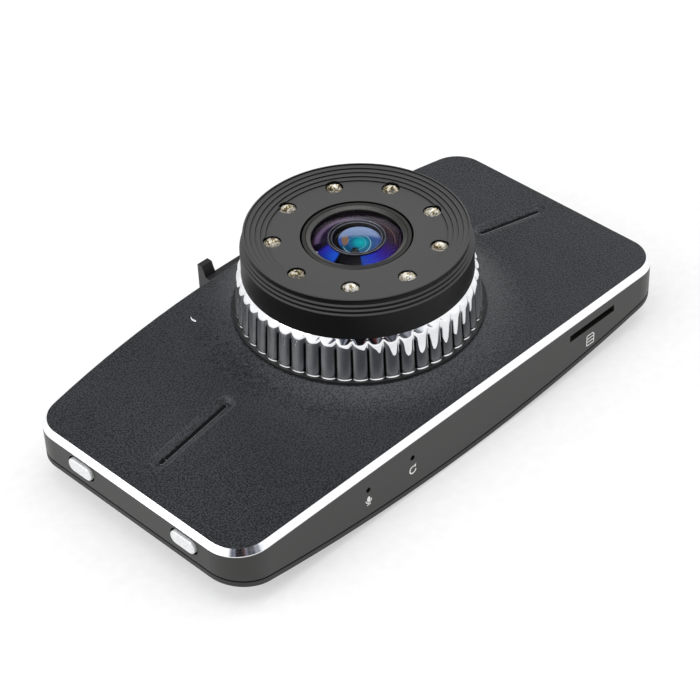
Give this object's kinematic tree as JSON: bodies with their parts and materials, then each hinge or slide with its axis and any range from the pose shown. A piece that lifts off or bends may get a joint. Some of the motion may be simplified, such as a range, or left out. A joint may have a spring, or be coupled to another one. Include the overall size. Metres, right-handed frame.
{
  "type": "dash camera",
  "caption": "Windscreen dash camera: slim curved-back body with rear screen, chrome-ringed round lens head with infrared lamps, side buttons and a slide-on mount rail.",
  "frame": {"origin": "where the lens axis meets the plane that the rear rests on", "axes": "+Z along the lens axis towards the subject, +X along the body's length, +Y towards the mount rail"},
  "size_m": [0.1055, 0.0605, 0.0299],
  "materials": {
    "inner_black": "black",
    "seat_ring": "black",
    "battery_foil": "silver foil",
    "polished_bevel": "diamond-cut polished",
    "screw_steel": "black zinc",
    "socket_steel": "tinned steel",
    "rear_key": "satin black",
    "plunger": "natural nylon",
    "coated_glass": "coated glass",
    "anodised_panel": "fine sparkling satin black",
    "chip_black": "moulded black",
    "indicator": "clear",
    "filter_glass": "cyan tint",
    "lamp_clear": "clear epoxy domes",
    "lens_glass": "clear glass",
    "chrome_ring": "bright chrome",
    "circuit_board": "green solder mask",
    "flex": "amber film",
    "backlight": "white",
    "soft_black": "matt black foam and rubber",
    "lcd_cell": "dark screen",
    "screen_glass": "gloss black border",
    "slot_strip": "gloss black",
    "lens_head": "satin black",
    "mic_can": "tinned steel",
    "side_wall": "satin warm dark grey",
    "silver_button": "fine matte silver",
    "shoe": "satin black",
    "rear_shell": "satin black",
    "retainer": "satin grey anodised"
  },
  "bodies": {
    "camera": {"av_jack": "inner_black", "base_flange": "seat_ring", "battery": "battery_foil", "bezel_trim": "polished_bevel", "board_screws": "screw_steel", "card_socket": "socket_steel", "front_element": "coated_glass", "front_panel": "anodised_panel", "housing_screws": "screw_steel", "image_sensor": "chip_black", "indicator_light": "indicator", "infrared_filter": "filter_glass", "infrared_lamps": "lamp_clear", "inner_elements": "lens_glass", "key_switches": "chip_black", "knurled_ring": "chrome_ring", "lamp_board": "circuit_board", "lamp_flex": "flex", "lcd_backlight": "backlight", "lcd_flex": "flex", "lcd_gasket": "soft_black", "lcd_panel": "lcd_cell", "lcd_window": "screen_glass", "left_slot_insert": "slot_strip", "lens_cell": "inner_black", "lens_holder": "inner_black", "lens_housing": "lens_head", "main_board": "circuit_board", "memory_chip": "chip_black", "microphone": "mic_can", "microphone_boot": "soft_black", "middle_frame": "side_wall", "mount_screws": "screw_steel", "mount_shoe": "shoe", "processor": "chip_black", "rear_cover": "rear_shell", "reset_switch": "chip_black", "retaining_ring": "retainer", "right_slot_insert": "slot_strip", "sensor_board": "circuit_board", "sensor_connector": "chip_black", "side_switches": "chip_black", "small_parts": "chip_black", "speaker": "inner_black", "speaker_gasket": "soft_black", "usb_socket": "socket_steel"},
    "power_button": {"power_button": "silver_button", "power_plunger": "plunger"},
    "mode_button": {"mode_button": "silver_button", "mode_plunger": "plunger"},
    "reset_plunger": {"reset_plunger": "plunger"},
    "card_slider": {"card_slider": "inner_black"},
    "menu_key": {"menu_key": "rear_key", "menu_key_plunger": "plunger"},
    "up_key": {"up_key": "rear_key", "up_key_plunger": "plunger"},
    "record_key": {"record_key": "rear_key", "record_key_plunger": "plunger"},
    "down_key": {"down_key": "rear_key", "down_key_plunger": "plunger"}
  },
  "joints": [
    {"name": "power_press", "type": "slide", "parent": "camera", "child": "power_button", "axis": [1, 0, 0], "range_m": [0, 0.00035], "stiffness_N_per_m": 2000},
    {"name": "mode_press", "type": "slide", "parent": "camera", "child": "mode_button", "axis": [1, 0, 0], "range_m": [0, 0.00035], "stiffness_N_per_m": 2000},
    {"name": "reset_press", "type": "slide", "parent": "camera", "child": "reset_plunger", "axis": [0, 1, 0], "range_m": [0, 0.0003], "stiffness_N_per_m": 1500},
    {"name": "card_push", "type": "slide", "parent": "camera", "child": "card_slider", "axis": [0, 1, 0], "range_m": [0, 0.001], "stiffness_N_per_m": 800},
    {"name": "menu_press", "type": "slide", "parent": "camera", "child": "menu_key", "axis": [0, 0, 1], "range_m": [0, 0.0002], "stiffness_N_per_m": 2000},
    {"name": "up_press", "type": "slide", "parent": "camera", "child": "up_key", "axis": [0, 0, 1], "range_m": [0, 0.0002], "stiffness_N_per_m": 2000},
    {"name": "record_press", "type": "slide", "parent": "camera", "child": "record_key", "axis": [0, 0, 1], "range_m": [0, 0.0002], "stiffness_N_per_m": 2000},
    {"name": "down_press", "type": "slide", "parent": "camera", "child": "down_key", "axis": [0, 0, 1], "range_m": [0, 0.0002], "stiffness_N_per_m": 2000}
  ]
}
